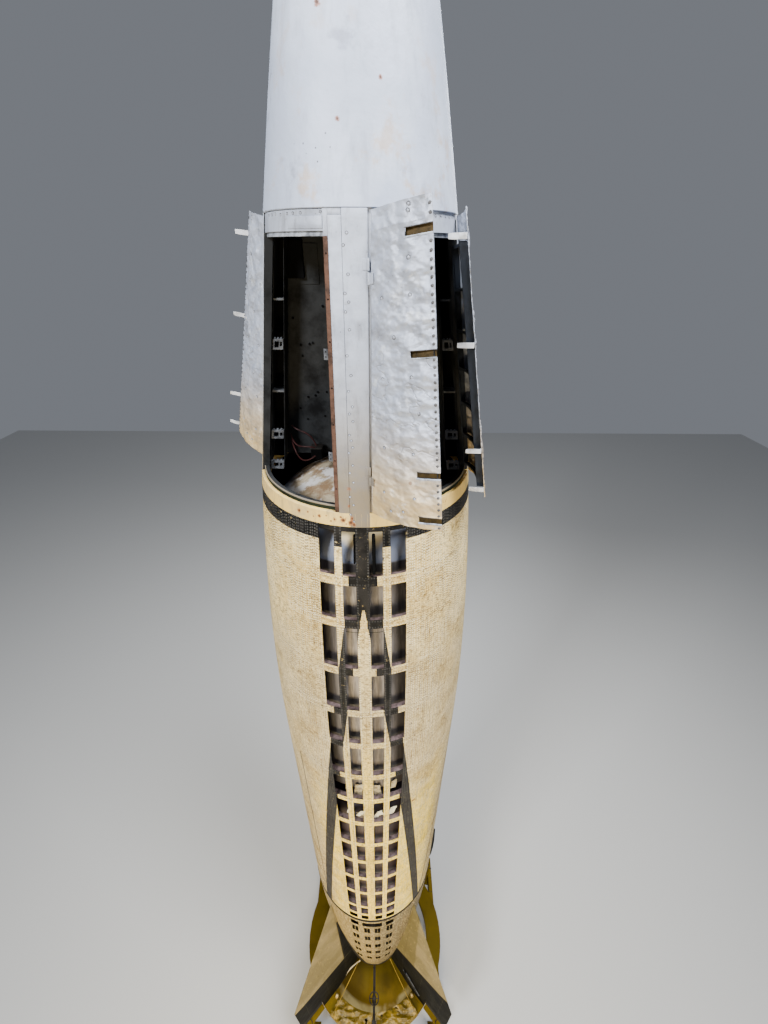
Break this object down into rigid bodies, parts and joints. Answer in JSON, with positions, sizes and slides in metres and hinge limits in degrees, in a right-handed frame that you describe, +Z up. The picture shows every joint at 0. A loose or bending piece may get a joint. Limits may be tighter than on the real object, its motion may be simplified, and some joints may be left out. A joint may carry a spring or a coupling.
{
  "type": "space rocket",
  "caption": "Slender single-stage rocket with four swept fins, an open control bay and cut-out skin windows, standing on a low launching table with a blast deflector.",
  "frame": {"origin": "on the floor, in the middle under the launching table, on the rocket's axis", "axes": "+Z up along the rocket towards its nose; -Y is the cut-open front that the picture shows; +X is to the right of someone who faces that front"},
  "size_m": [2.68, 3, 15.036],
  "materials": {
    "grey_paint": "dull light grey paint, worn and dented",
    "cream_paint": "aged cream paint with spot-weld dimples",
    "dark_paint": "matt anthracite paint",
    "tank_metal": "brushed, stained",
    "dark_steel": "dark oiled steel",
    "plywood": "dark grey painted plywood",
    "graphite": "matt graphite",
    "yellow_paint": "dark yellow gloss paint"
  },
  "bodies": {
    "rocket_on_table": {"warhead_nose": "grey_paint", "nose_fuze": "dark_steel", "bay_frame": "grey_paint", "bay_partition": "plywood", "tank_shell_front": "cream_paint", "tank_shell_back": "cream_paint", "joint_band": "dark_paint", "alcohol_tank": "tank_metal", "oxygen_tank": "tank_metal", "tail_shell": "cream_paint", "tail_end_ring": "dark_steel", "thrust_chamber": "dark_steel", "table_ring": "yellow_paint", "blast_deflector": "yellow_paint", "side_beam_left": "yellow_paint", "side_beam_right": "yellow_paint", "cross_beam_front": "yellow_paint", "cross_beam_back": "yellow_paint", "filling_pipe": "dark_steel", "pipe_handwheel": "dark_steel", "fin_front_right": "cream_paint", "table_post_front_right": "yellow_paint", "fin_back_right": "cream_paint", "table_post_back_right": "yellow_paint", "fin_back_left": "cream_paint", "table_post_back_left": "yellow_paint", "fin_front_left": "cream_paint", "table_post_front_left": "yellow_paint"},
    "door_front_right_a": {"door_front_right_a": "grey_paint"},
    "door_front_right_b": {"door_front_right_b": "grey_paint"},
    "door_back_right_a": {"door_back_right_a": "grey_paint"},
    "door_back_right_b": {"door_back_right_b": "grey_paint"},
    "door_back_left_a": {"door_back_left_a": "grey_paint"},
    "door_back_left_b": {"door_back_left_b": "grey_paint"},
    "rudder_front_right": {"rudder_front_right": "dark_paint"},
    "rudder_back_right": {"rudder_back_right": "dark_paint"},
    "rudder_back_left": {"rudder_back_left": "dark_paint"},
    "rudder_front_left": {"rudder_front_left": "dark_paint"},
    "jet_vane_front_right": {"jet_vane_front_right": "graphite"},
    "jet_vane_back_right": {"jet_vane_back_right": "graphite"},
    "jet_vane_back_left": {"jet_vane_back_left": "graphite"},
    "jet_vane_front_left": {"jet_vane_front_left": "graphite"}
  },
  "joints": [
    {"name": "door_front_right_a_hinge", "type": "hinge", "parent": "rocket_on_table", "child": "door_front_right_a", "pos_m": [0.048, -0.6937, 11.616], "axis": [0, -0.1489, -0.9889], "range_deg": [-60, 45]},
    {"name": "door_front_right_b_hinge", "type": "hinge", "parent": "rocket_on_table", "child": "door_front_right_b", "pos_m": [0.6803, -0.143, 11.616], "axis": [-0.1532, 0, 0.9882], "range_deg": [-33, 72]},
    {"name": "door_back_right_a_hinge", "type": "hinge", "parent": "rocket_on_table", "child": "door_back_right_a", "pos_m": [0.6937, 0.048, 11.616], "axis": [0.1489, 0, -0.9889], "range_deg": [0, 105]},
    {"name": "door_back_right_b_hinge", "type": "hinge", "parent": "rocket_on_table", "child": "door_back_right_b", "pos_m": [0.143, 0.6803, 11.616], "axis": [0, -0.1532, 0.9882], "range_deg": [0, 105]},
    {"name": "door_back_left_a_hinge", "type": "hinge", "parent": "rocket_on_table", "child": "door_back_left_a", "pos_m": [-0.16773, 0.67482, 11.616], "axis": [-0.0259, 0.1466, -0.9889], "range_deg": [0, 105]},
    {"name": "door_back_left_b_hinge", "type": "hinge", "parent": "rocket_on_table", "child": "door_back_left_b", "pos_m": [-0.69479, 0.02269, 11.616], "axis": [0.1508, 0.0266, 0.9882], "range_deg": [-60, 45]},
    {"name": "rudder_front_right_shaft", "type": "hinge", "parent": "rocket_on_table", "child": "rudder_front_right", "pos_m": [1.06066, -1.06066, 1.44], "axis": [0.7071, -0.7071, 0], "range_deg": [-25, 25]},
    {"name": "jet_vane_front_right_shaft", "type": "hinge", "parent": "rocket_on_table", "child": "jet_vane_front_right", "pos_m": [0.28284, -0.28284, 1.31], "axis": [0.7071, -0.7071, 0], "range_deg": [-25, 25]},
    {"name": "rudder_back_right_shaft", "type": "hinge", "parent": "rocket_on_table", "child": "rudder_back_right", "pos_m": [1.06066, 1.06066, 1.44], "axis": [0.7071, 0.7071, 0], "range_deg": [-25, 25]},
    {"name": "jet_vane_back_right_shaft", "type": "hinge", "parent": "rocket_on_table", "child": "jet_vane_back_right", "pos_m": [0.28284, 0.28284, 1.31], "axis": [0.7071, 0.7071, 0], "range_deg": [-25, 25]},
    {"name": "rudder_back_left_shaft", "type": "hinge", "parent": "rocket_on_table", "child": "rudder_back_left", "pos_m": [-1.06066, 1.06066, 1.44], "axis": [-0.7071, 0.7071, 0], "range_deg": [-25, 25]},
    {"name": "jet_vane_back_left_shaft", "type": "hinge", "parent": "rocket_on_table", "child": "jet_vane_back_left", "pos_m": [-0.28284, 0.28284, 1.31], "axis": [-0.7071, 0.7071, 0], "range_deg": [-25, 25]},
    {"name": "rudder_front_left_shaft", "type": "hinge", "parent": "rocket_on_table", "child": "rudder_front_left", "pos_m": [-1.06066, -1.06066, 1.44], "axis": [-0.7071, -0.7071, 0], "range_deg": [-25, 25]},
    {"name": "jet_vane_front_left_shaft", "type": "hinge", "parent": "rocket_on_table", "child": "jet_vane_front_left", "pos_m": [-0.28284, -0.28284, 1.31], "axis": [-0.7071, -0.7071, 0], "range_deg": [-25, 25]}
  ],
  "couplings": [
    {"joint": "jet_vane_front_right_shaft", "follows": "rudder_front_right_shaft", "ratio": 1},
    {"joint": "jet_vane_back_right_shaft", "follows": "rudder_back_right_shaft", "ratio": 1},
    {"joint": "jet_vane_back_left_shaft", "follows": "rudder_back_left_shaft", "ratio": 1},
    {"joint": "jet_vane_front_left_shaft", "follows": "rudder_front_left_shaft", "ratio": 1}
  ]
}
